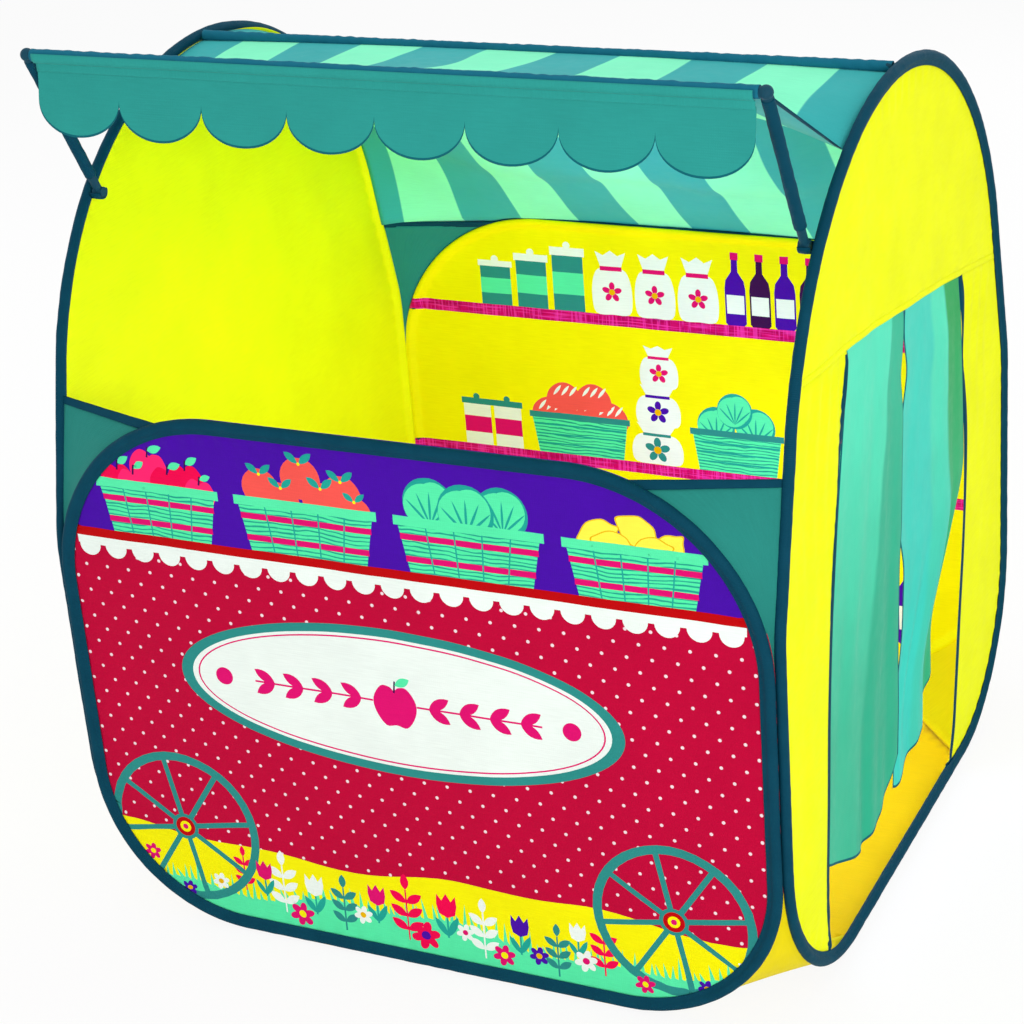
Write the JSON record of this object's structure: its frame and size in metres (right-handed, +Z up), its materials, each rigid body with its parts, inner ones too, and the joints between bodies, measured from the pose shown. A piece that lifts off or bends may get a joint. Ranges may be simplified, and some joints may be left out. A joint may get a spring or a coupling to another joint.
{
  "type": "play tent market stall",
  "caption": "Fabric pop-up play tent shaped like a market stall, with a printed counter, an awning with a scalloped valance, and a curtained side door.",
  "frame": {"origin": "on the ground, under the centre of the stall", "axes": "+X to the stall's right, +Y to its back, +Z up"},
  "size_m": [0.9642, 0.9442, 1.138],
  "materials": {
    "wire": "drawn spring steel",
    "binding": "woven binding tape",
    "front_print": "printed polyester",
    "back_print": "printed polyester",
    "yellow_cloth": "plain weave polyester",
    "teal_cloth": "plain weave polyester",
    "curtain_cloth": "thin plain weave polyester",
    "sleeve_cloth": "gathered polyester sleeve",
    "stripe_cloth": "striped polyester",
    "pole": "pultruded glass fibre",
    "vinyl": "soft vinyl"
  },
  "bodies": {
    "tent": {"front_hoop_wire": "wire", "front_hoop_sleeve": "binding", "front_hoop_ferrule": "wire", "front_panel": "front_print", "back_hoop_wire": "wire", "back_hoop_sleeve": "binding", "back_hoop_ferrule": "wire", "back_panel": "back_print", "left_hoop_wire": "wire", "left_hoop_sleeve": "binding", "left_hoop_ferrule": "wire", "left_panel": "yellow_cloth", "right_hoop_wire": "wire", "right_hoop_sleeve": "binding", "right_hoop_ferrule": "wire", "right_top_panel": "yellow_cloth", "right_front_strip": "yellow_cloth", "right_rear_strip": "yellow_cloth", "door_hem_tape": "binding", "door_front_tape": "binding", "door_rear_tape": "binding", "front_gusset_left": "teal_cloth", "front_gusset_right": "teal_cloth", "front_gusset_tape_left": "binding", "front_gusset_tape_right": "binding", "back_gusset_left": "teal_cloth", "back_gusset_right": "teal_cloth", "back_gusset_tape_left": "binding", "back_gusset_tape_right": "binding", "low_gusset_front_left": "yellow_cloth", "low_gusset_front_right": "yellow_cloth", "low_gusset_back_left": "yellow_cloth", "low_gusset_back_right": "yellow_cloth", "floor_sheet": "yellow_cloth", "ridge_pole": "pole", "ridge_sleeve": "sleeve_cloth", "ridge_caps": "vinyl", "roof_rear": "stripe_cloth", "awning_sheet": "stripe_cloth", "strut_pocket_left": "binding", "strut_pocket_right": "binding"},
    "awning_frame": {"awning_bar_pole": "pole", "awning_bar_sleeve": "sleeve_cloth", "awning_corner_left": "vinyl", "awning_corner_right": "vinyl", "strut_pole_left": "pole", "strut_pole_right": "pole", "strut_sleeve_left": "binding", "strut_sleeve_right": "binding", "strut_foot_left": "vinyl", "strut_foot_right": "vinyl"},
    "valance_header": {"valance_header": "teal_cloth"},
    "valance": {"valance": "teal_cloth"},
    "curtain_front": {"curtain_front": "curtain_cloth"},
    "curtain_rear": {"curtain_rear": "curtain_cloth"}
  },
  "joints": [
    {"name": "awning_tilt", "type": "hinge", "parent": "tent", "child": "awning_frame", "pos_m": [0, -0.29184, 0.93], "axis": [-1, 0, 0], "range_deg": [0, 40], "deforming": ["awning_sheet"]},
    {"name": "valance_plumb", "type": "hinge", "parent": "awning_frame", "child": "valance_header", "pos_m": [0, -0.395, 1.13], "axis": [1, 0, 0], "range_deg": [0, 40]},
    {"name": "valance_swing", "type": "hinge", "parent": "valance_header", "child": "valance", "pos_m": [0, -0.395, 1.11025], "axis": [-1, 0, 0], "range_deg": [-35, 60]},
    {"name": "curtain_front_swing", "type": "hinge", "parent": "tent", "child": "curtain_front", "pos_m": [0.475, -0.1, 0.77589], "axis": [0, -1, 0], "range_deg": [-55, 55]},
    {"name": "curtain_rear_swing", "type": "hinge", "parent": "tent", "child": "curtain_rear", "pos_m": [0.475, 0.12, 0.74854], "axis": [0, -1, 0], "range_deg": [-55, 55]}
  ],
  "couplings": [
    {"joint": "valance_plumb", "follows": "awning_tilt", "ratio": 1}
  ]
}
